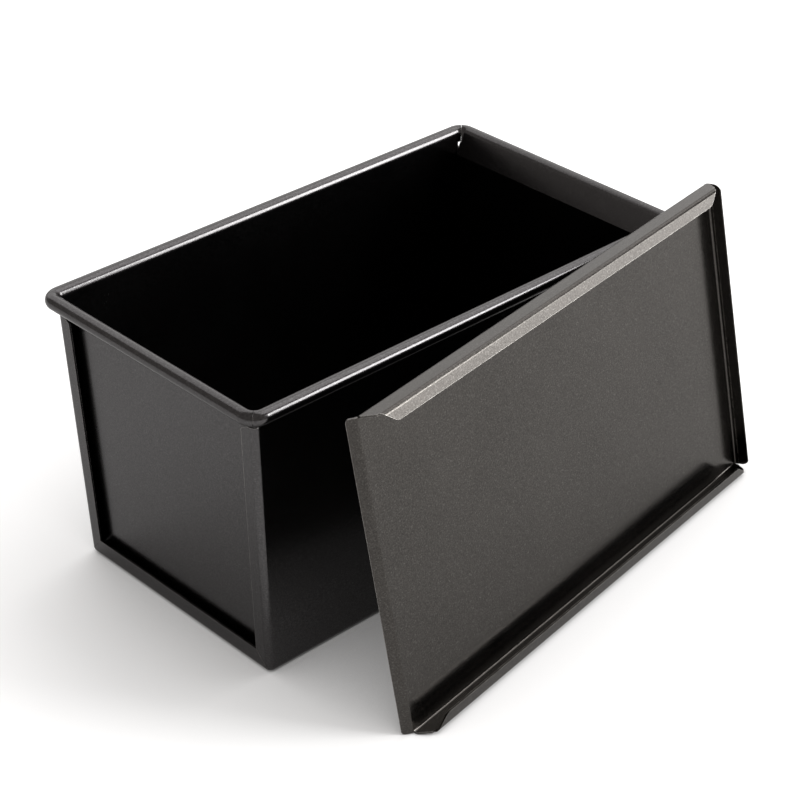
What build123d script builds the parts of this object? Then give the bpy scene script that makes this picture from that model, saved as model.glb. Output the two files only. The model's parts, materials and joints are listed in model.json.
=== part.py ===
# Pullman loaf pan of folded steel sheet, for a 450 g sandwich loaf, with its sliding lid taken off.
#
# The pan stands on its flat underside. X runs along the loaf, Y across it and Z up, and the origin
# is the middle of the underside. The pan is folded from three sheets round one wire: a wrapper that
# makes the bottom and both long walls, and a panel at each end. The wrapper's ends are turned in as
# a flat mitred frame that holds the panels, and every top edge is rolled outward over the rim wire.
#
# The lid is one sheet with a C shaped rail along each long edge, which slides over the rolled rim.
# It stands on its lower rail beside the pan and leans against the rim, with its underside out.
# All lengths are millimetres and all angles degrees.

import os
from math import atan2, cos, degrees, radians, sin, sqrt, tan

from build123d import *

# Overall sizes of the pan
rim_length = 216.0
rim_width = 121.6
pan_height = 115.2
sheet = 0.8
bead_diameter = 5.7
side_lean = 1.25
end_lean = 2.45

# Wrapper
fold_radius = 2.4
frame_fold_radius = 2.7
side_strip_width = 7.1
bottom_strip_width = 7.9
strip_drop = 2.1
strip_corner_width = 3.5
strip_corner_height = 2.3
mitre_gap = 0.15

# Rolled rim
rim_corner_radius = 7.5
rim_overhang = 1.65
curl_end_angle = -125.0
seam_angle = 1.0
rim_gap = 0.3
wire_gap = 0.1
wire_sides = 8

# End panels
panel_turn = 0.45
panel_fold_radius = 1.0
panel_flare = 20.0
panel_join = 2.0
seat_gap = 0.05

# Lid
lid_clearance = 0.3
lid_end_play = 1.0
rail_gap = 0.95
lid_fold_radius = 1.6
rail_lip_width = 5.1
rail_lip_flare = 10.5
rail_lead_setback = 0.8
rail_notch_level = 1.5
rail_notch_length = 3.9
rail_lip_notch_length = 6.0
rail_corner_radius = 4.0
lead_lip_length = 4.0
lead_lip_angle = 45.0
lead_corner_radius = 1.5
end_lip_height = 6.5
end_lip_tuck = 5.7
end_corner_radius = 4.0
end_lobe_radius = 2.6
end_lobe_inset = 5.2
end_lobe_rise = 2.0
lip_inset = 0.6

# How the lid leans beside the pan
lid_turn = 8.95
lid_lean = 10.9
lid_start = 84.0
lean_gap = 0.3

# One overrun for every cut
overrun = 1.0

# Sizes worked out from the ones above
bead_radius = bead_diameter / 2
curl_inner_radius = bead_radius - sheet
bead_level = pan_height - bead_radius
rim_foot = bead_level - bead_radius - rim_gap
strip_top = rim_foot - strip_drop
side_slope = tan(radians(side_lean))
end_slope = tan(radians(end_lean))
side_sheet = sheet / cos(radians(side_lean))
end_sheet = sheet / cos(radians(end_lean))
bead_half_length = rim_length / 2 - bead_radius
bead_half_width = rim_width / 2 - bead_radius
bead_corner_radius = rim_corner_radius - bead_radius
bead_straight_length = bead_half_length - bead_corner_radius
bead_straight_width = bead_half_width - bead_corner_radius
corner_turn = 45.0 - seam_angle
lid_width = rim_width + 2 * (lid_clearance + sheet)
lid_length = rim_length + lid_end_play
rail_depth = bead_diameter + rail_gap + sheet


def wall_y(z):
    """Outer face of the long wall at height z, on the +Y side."""
    inner_at_bead = bead_half_width - bead_radius / cos(radians(side_lean))
    return inner_at_bead + side_sheet - (bead_level - z) * side_slope


def face_x(z):
    """Outer face of the end frame at height z, on the +X side."""
    return bead_half_length - rim_overhang - (bead_level - z) * end_slope


def tapered_block(low, high, left, right, side_inset):
    """A block from height low to high whose left and right ends are functions of the height,
    and whose sides are set in from the outer faces of the long walls."""
    with BuildPart() as block:
        with BuildSketch(Plane.XZ):
            Polygon((left(low), low), (right(low), low), (right(high), high), (left(high), high), align=None)
        extrude(amount=wall_y(high), both=True)
        y_low = wall_y(low) - side_inset
        y_high = wall_y(high) - side_inset
        with BuildSketch(Plane.YZ):
            Polygon((-y_low, low), (y_low, low), (y_high, high), (-y_high, high), align=None)
        extrude(amount=face_x(high), both=True, mode=Mode.INTERSECT)
    return block.part


def pan_block(low, high, end_inset, side_inset, depth):
    """The tapered pan from height low to high, set in from the wrapper's outer faces, with its
    folds rounded as they are at that depth inside the sheet."""
    with BuildPart() as block:
        add(
            tapered_block(
                low, high, lambda z: end_inset - face_x(z), lambda z: face_x(z) - end_inset, side_inset
            )
        )
        fillet(block.edges().filter_by(lambda e: low < e.center().Z < high), frame_fold_radius - depth)
        fillet(block.edges().group_by(Axis.Z)[0], fold_radius - depth)
    return block.part


def touch_point(centre, radius, lean):
    """Where a sheet that leans outward meets the circle of the rolled edge."""
    return (centre - radius * cos(radians(lean)), bead_level + radius * sin(radians(lean)))


def down_from(point, lean, z):
    """The point at height z on a leaning line through the given point."""
    return (point[0] - (point[1] - z) * tan(radians(lean)), z)


def rolled_edge(centre, lean, foot):
    """Section of a leaning sheet from height foot up, rolled outward over the rim wire."""
    inner = touch_point(centre, bead_radius, lean)
    outer = touch_point(centre, curl_inner_radius, lean)
    start = 180.0 - lean
    with BuildSketch() as section:
        with BuildLine():
            Polyline(down_from(inner, lean, foot), inner, outer, down_from(outer, lean, foot), close=True)
        make_face()
        with BuildLine():
            outside = CenterArc((centre, bead_level), bead_radius, start, curl_end_angle - start)
            inside = CenterArc((centre, bead_level), curl_inner_radius, start, curl_end_angle - start)
            Line(outside @ 0, inside @ 0)
            Line(outside @ 1, inside @ 1)
        make_face()
    return section.sketch


# Wrapper: bottom, long walls and the turned-in frame at each end
with BuildPart() as body_wrapper:
    add(pan_block(0, rim_foot, 0, 0, 0))
    add(pan_block(sheet, rim_foot + overrun, end_sheet, side_sheet, sheet), mode=Mode.SUBTRACT)

    # The window in each end, between the strips of the frame
    window_low = wall_y(bottom_strip_width) - side_strip_width
    window_high = wall_y(strip_top) - side_strip_width
    with BuildSketch(Plane.YZ):
        with BuildLine():
            Polyline(
                (0, bottom_strip_width),
                (window_low, bottom_strip_width),
                (window_high, strip_top - strip_corner_height),
                (window_high + strip_corner_width, strip_top),
                (0, strip_top),
                close=True,
            )
        make_face()
        mirror(about=Plane.YZ)
    extrude(amount=face_x(strip_top) + overrun, both=True, mode=Mode.SUBTRACT)

    # The frame stops short of the rim, so that its strips could be turned in
    with BuildSketch(Plane.XZ):
        with BuildLine():
            Polyline(
                (bead_straight_length, strip_top),
                (face_x(rim_foot) + overrun, strip_top),
                (face_x(rim_foot) + overrun, rim_foot + overrun),
                (bead_straight_length, rim_foot + overrun),
                close=True,
            )
        make_face()
        mirror(about=Plane.YZ)
    extrude(amount=wall_y(rim_foot) + overrun, both=True, mode=Mode.SUBTRACT)

    # Open mitres at the frame's bottom corners
    mitre_angle = degrees(atan2(bottom_strip_width, side_strip_width))
    mitre_length = sqrt(side_strip_width**2 + bottom_strip_width**2) - fold_radius
    mitre_start = face_x(0) - fold_radius
    with BuildSketch(Plane.YZ.offset(mitre_start)):
        with Locations((window_low, bottom_strip_width)):
            Rectangle(2 * mitre_length, mitre_gap, rotation=-mitre_angle)
        mirror(about=Plane.YZ)
    cutter = extrude(amount=fold_radius + overrun, mode=Mode.SUBTRACT)
    mirror(cutter, about=Plane.YZ, mode=Mode.SUBTRACT)

    # The top of each long wall, rolled over the wire and on round half of each corner
    side_edge = rolled_edge(bead_half_width, side_lean, rim_foot)
    with BuildSketch(Plane.YZ):
        add(side_edge)
        mirror(about=Plane.YZ)
    extrude(amount=bead_straight_length, both=True)
    with BuildSketch(Plane.YZ.offset(bead_straight_length)):
        add(side_edge)
    corner_axis = Axis((bead_straight_length, bead_straight_width, 0), (0, 0, -1))
    corner = revolve(axis=corner_axis, revolution_arc=corner_turn)
    opposite = mirror(corner, about=Plane.XZ)
    mirror(corner, about=Plane.YZ)
    mirror(opposite, about=Plane.YZ)


# End panel: a shallow tray with its edges turned out inside the frame, and a rolled top edge
def panel_block(low, high, near, far, side_inset):
    """A block between two depths behind the frame's face, set in from the wrapper's inner faces."""
    side_depth = side_sheet + seat_gap + side_inset
    return tapered_block(low, high, lambda z: face_x(z) - far, lambda z: face_x(z) - near, side_depth)


def tray_block(low, high, near, far, side_inset, corner_radius, back_radius):
    """The same with its lower corners and the edges of its back rounded."""
    with BuildPart() as block:
        add(panel_block(low, high, near, far, side_inset))
        fillet(block.edges().filter_by(Axis.X).group_by(Axis.Z)[0], corner_radius)
        middle = (near + far) / 2
        back = block.edges().filter_by(lambda e: e.center().X < face_x(e.center().Z) - middle)
        fillet(back.filter_by(lambda e: e.center().Z < high - back_radius / 2), back_radius)
    return block.part


def fold_level(centre, radius, depth):
    """Height where a face of the flared top strip meets the same face of the panel."""
    x, z = touch_point(centre, radius, panel_flare)
    flare_slope = tan(radians(panel_flare))
    return (face_x(0) - depth - x + z * flare_slope) / (flare_slope - end_slope)


panel_recess = frame_fold_radius + seat_gap + panel_turn
panel_depth = panel_recess + end_sheet
panel_foot = sheet + seat_gap
corner_inside = fold_radius - sheet
inner_fold = fold_level(bead_half_length, bead_radius, panel_depth)
outer_fold = fold_level(bead_half_length, curl_inner_radius, panel_recess)
panel_top = min(inner_fold, outer_fold) - panel_join
inner_touch = touch_point(bead_half_length, bead_radius, panel_flare)
outer_touch = touch_point(bead_half_length, curl_inner_radius, panel_flare)

with BuildPart() as end_panel_right:
    turned_edge = frame_fold_radius + seat_gap
    add(tray_block(panel_foot, strip_top, turned_edge, panel_depth, 0, corner_inside, panel_fold_radius))
    add(
        tray_block(
            panel_foot + sheet,
            strip_top + overrun,
            turned_edge - overrun,
            panel_recess,
            side_sheet,
            corner_inside - sheet,
            panel_fold_radius - sheet,
        ),
        mode=Mode.SUBTRACT,
    )
    # Above the fold only the turned side edges stay, up to the flared strip
    add(
        panel_block(
            panel_top, strip_top + overrun, turned_edge - overrun, panel_depth + overrun, side_sheet
        ),
        mode=Mode.SUBTRACT,
    )
    with BuildSketch(Plane.XZ):
        with BuildLine():
            Polyline(
                (face_x(inner_fold) - panel_depth, inner_fold),
                down_from(inner_touch, panel_flare, rim_foot),
                (face_x(inner_fold) - panel_depth - overrun, rim_foot),
                (face_x(inner_fold) - panel_depth - overrun, inner_fold),
                close=True,
            )
        make_face()
    extrude(amount=bead_half_width, both=True, mode=Mode.SUBTRACT)

    # The strip that flares out to the rim, full width below the rim and narrower where it rolls over
    with BuildSketch(Plane.XZ):
        with BuildLine():
            Polyline(
                (face_x(panel_top) - panel_depth, panel_top),
                (face_x(inner_fold) - panel_depth, inner_fold),
                down_from(inner_touch, panel_flare, rim_foot),
                down_from(outer_touch, panel_flare, rim_foot),
                (face_x(outer_fold) - panel_recess, outer_fold),
                (face_x(panel_top) - panel_recess, panel_top),
                close=True,
            )
        make_face()
    extrude(amount=wall_y(panel_top) - side_sheet - seat_gap - sheet / 2, both=True)
    end_edge = rolled_edge(bead_half_length, panel_flare, rim_foot)
    with BuildSketch(Plane.XZ):
        add(end_edge)
    extrude(amount=bead_straight_width, both=True)
    with BuildSketch(Plane.XZ.offset(-bead_straight_width)):
        add(end_edge)
    end_axis = Axis((bead_straight_length, bead_straight_width, 0), (0, 0, 1))
    end_corner = revolve(axis=end_axis, revolution_arc=corner_turn)
    mirror(end_corner, about=Plane.XZ)

with BuildPart() as end_panel_left:
    mirror(end_panel_right.part, about=Plane.YZ)

# Rim wire: one closed ring inside the rolled edges, with few sides because it never shows
wire_radius = curl_inner_radius - wire_gap
with BuildPart() as rim_wire:
    with BuildSketch(Plane.YZ):
        with Locations((bead_half_width, bead_level), (-bead_half_width, bead_level)):
            RegularPolygon(wire_radius, wire_sides)
    extrude(amount=bead_straight_length, both=True)
    with BuildSketch(Plane.XZ):
        with Locations((bead_half_length, bead_level), (-bead_half_length, bead_level)):
            RegularPolygon(wire_radius, wire_sides)
    extrude(amount=bead_straight_width, both=True)
    with BuildSketch(Plane.YZ.offset(bead_straight_length)):
        with Locations((bead_half_width, bead_level)):
            RegularPolygon(wire_radius, wire_sides)
    wire_corner = revolve(axis=corner_axis, revolution_arc=90)
    wire_opposite = mirror(wire_corner, about=Plane.XZ)
    mirror(wire_corner, about=Plane.YZ)
    mirror(wire_opposite, about=Plane.YZ)

# Lid: where it stands, with its underside facing away from the pan
turn = radians(lid_turn)
lean = radians(lid_lean)
lid_along = Vector(cos(turn), sin(turn), 0)
lid_out = Vector(sin(turn) * cos(lean), -cos(turn) * cos(lean), sin(lean))
lid_up = lid_out.cross(lid_along)


def reach(half_length, half_width, corner_radius, z):
    """How far a rounded rectangle at height z comes towards the lid."""
    along = (half_length - corner_radius) * lid_out.X
    across = (half_width - corner_radius) * lid_out.Y
    return along - across + corner_radius * sqrt(lid_out.X**2 + lid_out.Y**2) + z * lid_out.Z


# The lid leans on the rim, or on the long wall where the rim is higher than the lid reaches
lid_x = -lid_start
lid_z = lid_fold_radius - lid_fold_radius * cos(lean) - (lid_fold_radius - sheet) * sin(lean)
lid_top = lid_z + lid_width * lid_up.Z - sheet * lid_out.Z
if lid_top > bead_level - bead_radius:
    pan_reach = reach(bead_half_length, bead_half_width, bead_corner_radius, bead_level) + bead_radius
else:
    pan_reach = reach(face_x(lid_top), wall_y(lid_top), frame_fold_radius, lid_top)
lid_y = (pan_reach + sheet + lean_gap - lid_x * lid_out.X - lid_z * lid_out.Z) / lid_out.Y
lid_corner = Vector(lid_x, lid_y, lid_z)
lip_plane = Plane(origin=lid_corner, x_dir=lid_along, z_dir=-lid_up)
face_plane = Plane(origin=lid_corner, x_dir=lid_along, z_dir=lid_out)
lid_middle = Plane(origin=lid_corner + lid_up * (lid_width / 2), x_dir=lid_along, z_dir=lid_up)


def lid_point(along, up, out):
    """A point of the lid, measured from the lower corner of its underside at the lead end."""
    return lid_corner + lid_along * along + lid_up * up + lid_out * out


lip_flare = radians(rail_lip_flare)
rail_lip_rise = rail_lip_width * cos(lip_flare)
rail_lip_out = rail_depth + rail_lip_width * sin(lip_flare)
rail_start = rail_lead_setback
rail_end = lid_length - (lid_fold_radius - sheet)
lead_drop = radians(lead_lip_angle)
tuck = radians(end_lip_tuck)

with BuildPart() as lid:
    # Lead lip, panel and end lip as one bent strip, kept only beyond the rails
    with BuildSketch(lip_plane.offset(-lip_inset)):
        with BuildLine():
            FilletPolyline(
                (-lead_lip_length * cos(lead_drop), -lead_lip_length * sin(lead_drop)),
                (0, 0),
                (lid_length, 0),
                (lid_length - end_lip_height * sin(tuck), end_lip_height * cos(tuck)),
                radius=[lid_fold_radius, lid_fold_radius - sheet],
            )
            offset(amount=sheet, side=Side.RIGHT)
        make_face()
    extrude(amount=-(lid_width - 2 * lip_inset))
    for along, out, radius in (
        (-lead_lip_length * cos(lead_drop), -lead_lip_length * sin(lead_drop), lead_corner_radius),
        (lid_length - end_lip_height * sin(tuck), end_lip_height * cos(tuck), end_corner_radius),
    ):
        for up in (lip_inset, lid_width - lip_inset):
            meeting = lid.edges().sort_by_distance(lid_point(along, up, out))[:3]
            fillet(meeting.sort_by(SortBy.LENGTH)[0], radius)
    # A rounded lobe stands up at each end of the end lip
    lip_normal = lid_along * cos(tuck) + lid_out * sin(tuck)
    with BuildSketch(Plane(origin=lid_point(lid_length, 0, 0), x_dir=lid_up, z_dir=lip_normal)):
        lobe_level = end_lip_height + end_lobe_rise - end_lobe_radius
        with Locations((end_lobe_inset, lobe_level), (lid_width - end_lobe_inset, lobe_level)):
            Circle(end_lobe_radius)
    extrude(amount=sheet)
    with BuildSketch(face_plane.offset(-2 * sheet)):
        with Locations((rail_start, 0)):
            Rectangle(rail_end - rail_start, lid_width, align=(Align.MIN, Align.MIN))
    extrude(amount=3 * sheet, mode=Mode.SUBTRACT)

    # Panel with its two rails, folded from one strip
    with BuildSketch(Plane(origin=lid_point(rail_start, 0, 0), x_dir=lid_up, z_dir=lid_along)):
        with BuildLine():
            FilletPolyline(
                (rail_lip_rise, rail_lip_out),
                (0, rail_depth),
                (0, -sheet),
                (lid_width, -sheet),
                (lid_width, rail_depth),
                (lid_width - rail_lip_rise, rail_lip_out),
                radius=lid_fold_radius,
            )
            offset(amount=sheet, side=Side.LEFT)
        make_face()
    extrude(amount=rail_end - rail_start)

    # Each rail end is cut back at a slant, first through its wall and then through its lip
    for end, inward in ((rail_start, 1), (rail_end, -1)):
        with BuildSketch(lip_plane):
            with BuildLine():
                Polyline(
                    (end, rail_notch_level),
                    (end + inward * rail_notch_length, rail_depth),
                    (end + inward * rail_notch_length, rail_lip_out + overrun),
                    (end - inward * overrun, rail_lip_out + overrun),
                    (end - inward * overrun, rail_notch_level),
                    close=True,
                )
            make_face()
        extrude(amount=-lid_width, mode=Mode.SUBTRACT)
        with BuildSketch(face_plane.offset(rail_depth - lid_fold_radius)):
            with BuildLine():
                Polyline(
                    (end + inward * rail_notch_length, 0),
                    (end + inward * (rail_notch_length + rail_lip_notch_length), rail_lip_width),
                    (end, rail_lip_width),
                    (end, 0),
                    close=True,
                )
            make_face()
        notch = extrude(amount=rail_lip_out, mode=Mode.SUBTRACT)
        mirror(notch, about=lid_middle, mode=Mode.SUBTRACT)
        for up in (rail_lip_rise, lid_width - rail_lip_rise):
            tip_setback = rail_notch_length + rail_lip_notch_length * rail_lip_rise / rail_lip_width
            tip = lid_point(end + inward * tip_setback, up, rail_lip_out)
            meeting = lid.edges().sort_by_distance(tip)[:3]
            fillet(meeting.sort_by(SortBy.LENGTH)[0], rail_corner_radius)

body_wrapper.part.label = "body_wrapper"
end_panel_left.part.label = "end_panel_left"
end_panel_right.part.label = "end_panel_right"
rim_wire.part.label = "rim_wire"
lid.part.label = "lid"

os.makedirs("parts", exist_ok=True)
export_step(body_wrapper.part, "parts/body_wrapper.step")
export_step(end_panel_left.part, "parts/end_panel_left.step")
export_step(end_panel_right.part, "parts/end_panel_right.step")
export_step(rim_wire.part, "parts/rim_wire.step")
export_step(lid.part, "parts/lid.step")
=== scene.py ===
"""Looks for the folded steel loaf pan and its lid: dark coated steel, a pale studio and the camera.

The shapes are all the model's own. This script adds the materials, the floor, the lamps and the
camera. Lengths are metres, in the model's frame.
"""

import json
from math import pi

import bpy
from mathutils import Matrix, Vector

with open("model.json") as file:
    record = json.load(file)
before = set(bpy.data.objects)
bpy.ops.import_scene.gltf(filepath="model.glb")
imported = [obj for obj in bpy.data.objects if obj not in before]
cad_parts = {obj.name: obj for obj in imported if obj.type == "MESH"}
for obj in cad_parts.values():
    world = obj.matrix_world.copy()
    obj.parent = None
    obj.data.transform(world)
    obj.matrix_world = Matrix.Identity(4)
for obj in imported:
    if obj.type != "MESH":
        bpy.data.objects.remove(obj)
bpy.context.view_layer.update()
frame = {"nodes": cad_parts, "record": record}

# Camera, solved from the photograph's edges: its place, and its right, down and forward directions
CAMERA_PLACE = Vector((-0.5137645, -0.5678281, 0.5209648))
CAMERA_RIGHT = Vector((0.7300900, -0.6833442, -0.0030540))
CAMERA_DOWN = Vector((-0.3596153, -0.3804077, -0.8520368))
CAMERA_FORWARD = Vector((0.5810726, 0.6231619, -0.5234729))
FOCAL_LENGTH_PX = 2315.92
IMAGE_WIDTH_PX = 800
SENSOR_WIDTH_MM = 36.0
NEAREST_SEEN = 0.01

# Studio: the point that the lamps face, how far off they stand, and the light of the room around
LAMP_TARGET = Vector((0.0, 0.0, 0.06))
LAMP_DISTANCE = 2.2
ROOM_LIGHT = 0.34
ROOM_COLOUR = (1.0, 0.94, 0.90, 1)

# Lamps: the direction of each from the pan, its width and height, and its radiance, where 1 is white
LAMPS = {
    "key": ((0.61, -0.65, 0.42), (0.8, 1.0), 12.8),
    "low": ((0.75, -0.66, 0.125), (1.4, 0.62), 6.4),
    "top": ((0.55, -0.02, 0.80), (1.7, 1.8), 1.7),
    "back": ((0.30, 0.76, 0.58), (2.9, 1.9), 1.02),
}

# Patterns: noise cells in a metre, and the range that a noise seldom leaves
GRAIN_SCALE = 1700.0
FLECK_SCALE = 1900.0
MOTTLE_SCALE = 26.0
WAVE_SCALE = 9.0
WEAR_SCALE = 180.0
NOISE_RANGE = (0.3, 0.7)

# Coating: it reflects as dark metal, with a speckle, bright flecks and a faint mottling
COATING_METALLIC = 1.0
SPECKLE_RANGE = (0.36, 0.64)
FLECK_RANGE = (0.56, 0.72)
FLECK_STRENGTH = 0.16
MOTTLE_STRENGTH = 0.25
PAN_COATING = {
    "dark": (0.064, 0.0615, 0.062, 1),
    "pale": (0.101, 0.098, 0.099, 1),
    "fleck": (0.32, 0.32, 0.32, 1),
    "roughness": 0.20,
}
LID_COATING = {
    "dark": (0.046, 0.043, 0.040, 1),
    "pale": (0.081, 0.0755, 0.070, 1),
    "fleck": (0.31, 0.30, 0.285, 1),
    "roughness": 0.18,
}

# Roughness that the mottling, the grain and the worn edges add to a coating's own
MOTTLE_SMOOTHEST, MOTTLE_ROUGHEST = -0.015, 0.025
GRAIN_SMOOTHEST, GRAIN_ROUGHEST = -0.03, 0.05
WORN_ROUGHNESS = 0.12

# Relief of the coating: a fine grain on slow waves in the sheet
GRAIN_HEIGHT, GRAIN_BUMP = 0.00001, 0.7
WAVE_HEIGHT, WAVE_BUMP = 0.0012, 0.3

# Bare steel that shows in patches where the coating has worn off the edges. An edge starts and is
# full where the rounded normal agrees this far with the true one.
WORN_COLOUR = (0.44, 0.42, 0.40, 1)
WORN_WIDTH = 0.00035
EDGE_START, EDGE_FULL = 0.96, 0.82
PATCH_RANGE = (0.35, 0.6)
LEAST_WORN = 0.45
WORN_FADE = 0.001

# The rolled rim reaches this far down from the pan's top
RIM_DEPTH = 0.0062

# Wire: drawn steel, with noise cells in a metre along and across its lines
WIRE_SCALE = (40.0, 900.0, 900.0)
WIRE_DARK = (0.42, 0.41, 0.40, 1)
WIRE_PALE = (0.58, 0.57, 0.56, 1)
WIRE_PATCH_SCALE = 60.0
WIRE_SMOOTHEST, WIRE_ROUGHEST = 0.28, 0.42
WIRE_LINE_HEIGHT = 0.00005

# Floor: its paint, and the glow that the camera and reflections see on top of it. The glow fades
# where the pan closes the floor in.
FLOOR_REACH = 6.0
FLOOR_COLOUR = 0.7
FLOOR_ROUGHNESS = 0.9
FLOOR_WHITE = 0.65
REFLECTED_WHITE = 0.38
SHADE_REACH = 0.1
SHADE_DEPTH = 1.3


def make_camera():
    data = bpy.data.cameras.new("camera")
    data.sensor_width = SENSOR_WIDTH_MM
    data.lens = FOCAL_LENGTH_PX / IMAGE_WIDTH_PX * SENSOR_WIDTH_MM
    data.clip_start = NEAREST_SEEN
    camera = bpy.data.objects.new("camera", data)
    bpy.context.scene.collection.objects.link(camera)
    rotation = Matrix((CAMERA_RIGHT, -CAMERA_DOWN, -CAMERA_FORWARD)).transposed()
    camera.matrix_world = Matrix.Translation(CAMERA_PLACE) @ rotation.to_4x4()
    bpy.context.scene.camera = camera


class Nodes:
    """Short names for making and joining the nodes of one material."""

    def __init__(self, material):
        self.tree = material.node_tree
        self.shader = self.tree.nodes["Principled BSDF"]
        self.place = self.add("ShaderNodeTexCoord").outputs["Object"]

    def add(self, kind, **settings):
        node = self.tree.nodes.new(kind)
        for name, value in settings.items():
            setattr(node, name, value)
        return node

    def put(self, value, socket):
        """Join a node's output to a socket, or set the socket to a plain value."""
        if isinstance(value, bpy.types.NodeSocket):
            self.tree.links.new(value, socket)
        else:
            socket.default_value = value

    def noise(self, scale, detail=2.0, rough=0.5, place=None):
        node = self.add("ShaderNodeTexNoise")
        self.put(place or self.place, node.inputs["Vector"])
        self.put(scale, node.inputs["Scale"])
        self.put(detail, node.inputs["Detail"])
        self.put(rough, node.inputs["Roughness"])
        return node.outputs["Fac"]

    def spread(self, value, low, high, to_low=0.0, to_high=1.0):
        """Stretch the part of a value between low and high to a new range."""
        node = self.add("ShaderNodeMapRange")
        for index, number in enumerate((value, low, high, to_low, to_high)):
            self.put(number, node.inputs[index])
        return node.outputs["Result"]

    def math(self, operation, first, second):
        node = self.add("ShaderNodeMath", operation=operation)
        self.put(first, node.inputs[0])
        self.put(second, node.inputs[1])
        return node.outputs["Value"]

    def blend(self, factor, first, second):
        node = self.add("ShaderNodeMix", data_type="RGBA")
        self.put(factor, node.inputs["Factor"])
        self.put(first, node.inputs["A"])
        self.put(second, node.inputs["B"])
        return node.outputs["Result"]

    def edges(self, width):
        """1 along the sharp edges, where the rounded normal leaves the true one, and 0 elsewhere."""
        rounded = self.add("ShaderNodeBevel", samples=4)
        self.put(width, rounded.inputs["Radius"])
        geometry = self.add("ShaderNodeNewGeometry")
        turned = self.add("ShaderNodeVectorMath", operation="DOT_PRODUCT")
        self.put(rounded.outputs["Normal"], turned.inputs[0])
        self.put(geometry.outputs["Normal"], turned.inputs[1])
        return self.spread(turned.outputs["Value"], EDGE_START, EDGE_FULL)

    def bump(self, height, distance, strength=1.0, normal=None):
        node = self.add("ShaderNodeBump")
        self.put(height, node.inputs["Height"])
        self.put(distance, node.inputs["Distance"])
        self.put(strength, node.inputs["Strength"])
        if normal is not None:
            self.put(normal, node.inputs["Normal"])
        return node.outputs["Normal"]


def new_material(name):
    material = bpy.data.materials.new(name)
    material.use_nodes = True
    return material


def worn_edges(nodes, worn_below):
    """How far the coating has worn off: patchy along the edges, and nothing above the given height."""
    patches = nodes.noise(WEAR_SCALE, detail=3.0, rough=0.6)
    patches = nodes.spread(patches, *PATCH_RANGE, LEAST_WORN, 1.0)
    worn = nodes.math("MULTIPLY", nodes.edges(WORN_WIDTH), patches)
    height = nodes.add("ShaderNodeSeparateXYZ")
    nodes.put(nodes.place, height.inputs["Vector"])
    reached = nodes.spread(height.outputs["Z"], worn_below, worn_below - WORN_FADE)
    return nodes.math("MULTIPLY", worn, reached)


def coated_steel(name, coating, worn_below):
    """Dark non-stick coating: bright flecks in a fine grain, faint mottling, soft gloss, worn edges."""
    material = new_material(name)
    nodes = Nodes(material)
    grain = nodes.noise(GRAIN_SCALE, detail=3.0, rough=0.65)
    mottle = nodes.noise(MOTTLE_SCALE, detail=3.0, rough=0.55)
    flecks = nodes.noise(FLECK_SCALE, detail=1.0)
    worn = worn_edges(nodes, worn_below)

    tone = nodes.blend(nodes.spread(grain, *SPECKLE_RANGE), coating["dark"], coating["pale"])
    mottling = nodes.spread(mottle, *NOISE_RANGE, 0.0, MOTTLE_STRENGTH)
    tone = nodes.blend(mottling, tone, coating["pale"])
    flecks = nodes.math("MULTIPLY", nodes.spread(flecks, *FLECK_RANGE), FLECK_STRENGTH)
    tone = nodes.blend(flecks, tone, coating["fleck"])
    nodes.put(nodes.blend(worn, tone, WORN_COLOUR), nodes.shader.inputs["Base Color"])
    nodes.put(COATING_METALLIC, nodes.shader.inputs["Metallic"])

    smoothest = coating["roughness"] + MOTTLE_SMOOTHEST
    roughest = coating["roughness"] + MOTTLE_ROUGHEST
    coarse = nodes.spread(mottle, *NOISE_RANGE, smoothest, roughest)
    fine = nodes.spread(grain, *NOISE_RANGE, GRAIN_SMOOTHEST, GRAIN_ROUGHEST)
    rough = nodes.math("ADD", coarse, fine)
    rough = nodes.math("ADD", rough, nodes.math("MULTIPLY", worn, WORN_ROUGHNESS))
    nodes.put(rough, nodes.shader.inputs["Roughness"])

    waves = nodes.noise(WAVE_SCALE, detail=1.0, rough=0.4)
    waves = nodes.bump(waves, WAVE_HEIGHT, WAVE_BUMP)
    relief = nodes.bump(grain, GRAIN_HEIGHT, GRAIN_BUMP, waves)
    nodes.put(relief, nodes.shader.inputs["Normal"])
    return material


def wire_steel():
    """Plain drawn wire: fine lines that run along the pan, and a few dull patches."""
    material = new_material("wire_steel")
    nodes = Nodes(material)
    stretch = nodes.add("ShaderNodeMapping")
    nodes.put(nodes.place, stretch.inputs["Vector"])
    nodes.put(WIRE_SCALE, stretch.inputs["Scale"])
    lines = nodes.noise(1.0, detail=3.0, rough=0.6, place=stretch.outputs["Vector"])
    patches = nodes.noise(WIRE_PATCH_SCALE)
    rough = nodes.spread(patches, *NOISE_RANGE, WIRE_SMOOTHEST, WIRE_ROUGHEST)
    nodes.put(nodes.blend(lines, WIRE_DARK, WIRE_PALE), nodes.shader.inputs["Base Color"])
    nodes.put(1.0, nodes.shader.inputs["Metallic"])
    nodes.put(rough, nodes.shader.inputs["Roughness"])
    nodes.put(nodes.bump(lines, WIRE_LINE_HEIGHT), nodes.shader.inputs["Normal"])
    return material


def floor_glow(nodes):
    """How brightly the floor glows: for the camera and in reflections, and less in the pan's shade."""
    path = nodes.add("ShaderNodeLightPath")
    glossy = path.outputs["Is Glossy Ray"]
    clear = path.outputs["Is Transmission Ray"]
    bounced = nodes.math("MULTIPLY", nodes.math("MAXIMUM", glossy, clear), REFLECTED_WHITE)
    seen = nodes.math("MAXIMUM", path.outputs["Is Camera Ray"], bounced)
    openness = nodes.add("ShaderNodeAmbientOcclusion", samples=8)
    nodes.put(SHADE_REACH, openness.inputs["Distance"])
    open_share = nodes.math("POWER", openness.outputs["AO"], SHADE_DEPTH)
    return nodes.math("MULTIPLY", seen, nodes.math("MULTIPLY", open_share, FLOOR_WHITE))


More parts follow.
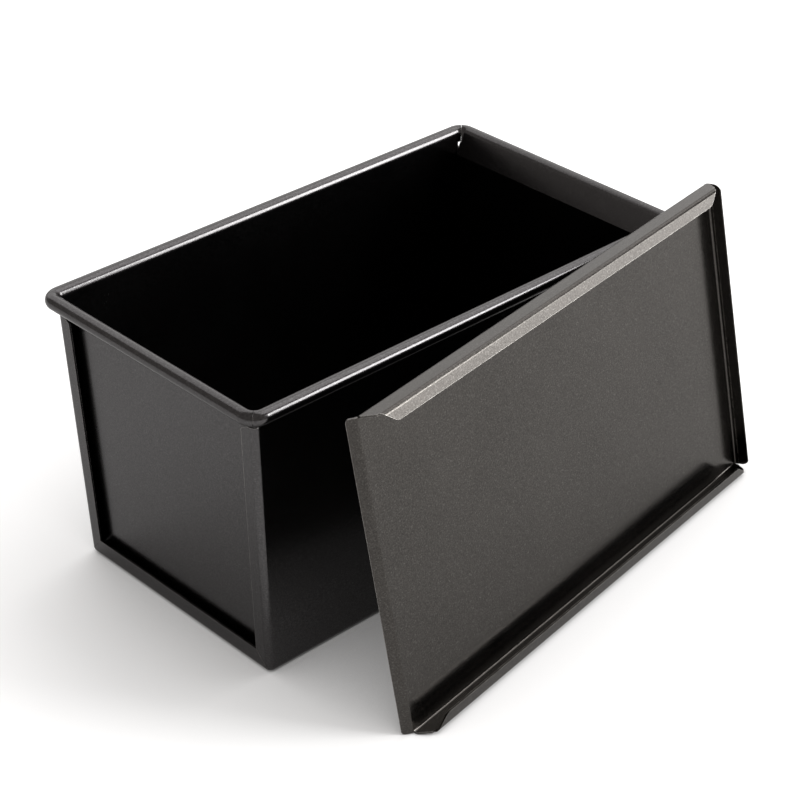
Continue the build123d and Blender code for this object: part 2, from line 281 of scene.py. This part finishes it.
def make_floor():
    """A wide pale floor that glows to white for the camera and keeps the pan's shadow."""
    mesh = bpy.data.meshes.new("floor")
    signs = ((-1, -1), (1, -1), (1, 1), (-1, 1))
    corners = [(FLOOR_REACH * along, FLOOR_REACH * across, 0) for along, across in signs]
    mesh.from_pydata(corners, [], [(0, 1, 2, 3)])
    floor = bpy.data.objects.new("floor", mesh)
    bpy.context.scene.collection.objects.link(floor)
    material = new_material("floor")
    nodes = Nodes(material)
    nodes.put((FLOOR_COLOUR, FLOOR_COLOUR, FLOOR_COLOUR, 1), nodes.shader.inputs["Base Color"])
    nodes.put(FLOOR_ROUGHNESS, nodes.shader.inputs["Roughness"])
    nodes.put(0.0, nodes.shader.inputs["Specular IOR Level"])
    nodes.put((1.0, 1.0, 1.0, 1), nodes.shader.inputs["Emission Color"])
    nodes.put(floor_glow(nodes), nodes.shader.inputs["Emission Strength"])
    floor.data.materials.append(material)


def area_lamp(name, direction, size, radiance):
    """A soft box facing the pan, as bright as the given radiance."""
    data = bpy.data.lights.new(name, "AREA")
    data.shape = "RECTANGLE"
    data.size, data.size_y = size
    data.energy = radiance * pi * size[0] * size[1]
    lamp = bpy.data.objects.new(name, data)
    bpy.context.scene.collection.objects.link(lamp)
    lamp.location = LAMP_TARGET + Vector(direction).normalized() * LAMP_DISTANCE
    lamp.rotation_euler = (LAMP_TARGET - lamp.location).to_track_quat("-Z", "Y").to_euler()


def light_scene():
    """A dim plain room with four soft boxes: most of the light comes from the camera's right."""
    world = bpy.data.worlds.new("world")
    bpy.context.scene.world = world
    world.use_nodes = True
    background = world.node_tree.nodes["Background"]
    background.inputs["Color"].default_value = ROOM_COLOUR
    background.inputs["Strength"].default_value = ROOM_LIGHT
    for name, (direction, size, radiance) in LAMPS.items():
        area_lamp(name, direction, size, radiance)


def top_of(name):
    """The height of a named piece's top, in its own coordinates."""
    return max(corner[2] for corner in frame["nodes"][name].bound_box)


bpy.context.scene.view_settings.view_transform = "Standard"
make_camera()
make_floor()
light_scene()

# The pan's rolled rim has seams and no cut edges, so nothing is worn there. The lid wears all over.
rim_foot = top_of("body_wrapper") - RIM_DEPTH
past_lid = top_of("lid") + WORN_FADE
finishes = {
    "coated_steel": coated_steel("coated_steel", PAN_COATING, rim_foot),
    "lid_steel": coated_steel("lid_steel", LID_COATING, past_lid),
    "wire_steel": wire_steel(),
}
for part in frame["record"]["subparts"]:
    node = frame["nodes"][part["node"]]
    node.data.materials.clear()
    node.data.materials.append(finishes[part["material_slot"]])
